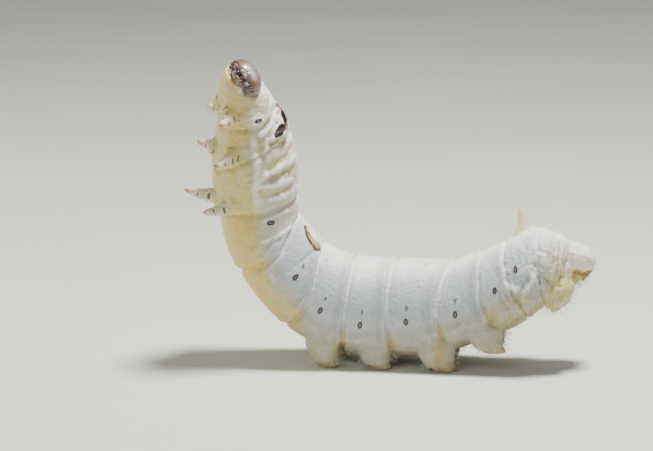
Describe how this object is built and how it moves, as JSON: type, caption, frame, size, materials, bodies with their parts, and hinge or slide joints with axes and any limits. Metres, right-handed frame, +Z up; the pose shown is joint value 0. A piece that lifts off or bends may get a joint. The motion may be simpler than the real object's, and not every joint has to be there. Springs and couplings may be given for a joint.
{
  "type": "silkworm",
  "caption": "Full-grown silkworm larva with its front half raised, standing on its middle prolegs, tail horn up.",
  "frame": {"origin": "centre of the footprint's bounding box, on the floor under the feet", "axes": "+X from head to tail, +Y away from the animal's left side, +Z up"},
  "size_m": [0.0514, 0.015, 0.0392],
  "materials": {
    "skin": "soft matt skin, pale",
    "leg": "pale cuticle",
    "horn": "soft cream cone",
    "head_shell": "glossy shell",
    "mouth_skin": "soft pale cuticle",
    "mandible": "dark horn",
    "eye": "glossy black"
  },
  "bodies": {
    "root": {"prothorax": "skin", "mesothorax": "skin", "metathorax": "skin", "abdomen_1": "skin", "abdomen_2": "skin", "abdomen_3": "skin", "abdomen_4": "skin", "abdomen_5": "skin", "abdomen_6": "skin", "abdomen_7": "skin", "abdomen_8": "skin", "abdomen_9": "skin", "anal_segment": "skin", "proleg_3_left": "skin", "proleg_3_right": "skin", "proleg_4_left": "skin", "proleg_4_right": "skin", "proleg_5_left": "skin", "proleg_5_right": "skin", "proleg_6_left": "skin", "proleg_6_right": "skin", "anal_proleg_left": "skin", "anal_proleg_right": "skin", "leg_1_left": "leg", "leg_1_right": "leg", "leg_2_left": "leg", "leg_2_right": "leg", "leg_3_left": "leg", "leg_3_right": "leg", "caudal_horn": "horn", "head_capsule": "head_shell", "labrum": "head_shell", "labium": "mouth_skin", "antenna_left": "mouth_skin", "antenna_right": "mouth_skin", "mandible_left": "mandible", "mandible_right": "mandible", "eye_left": "eye", "eye_right": "eye"}
  },
  "joints": []
}
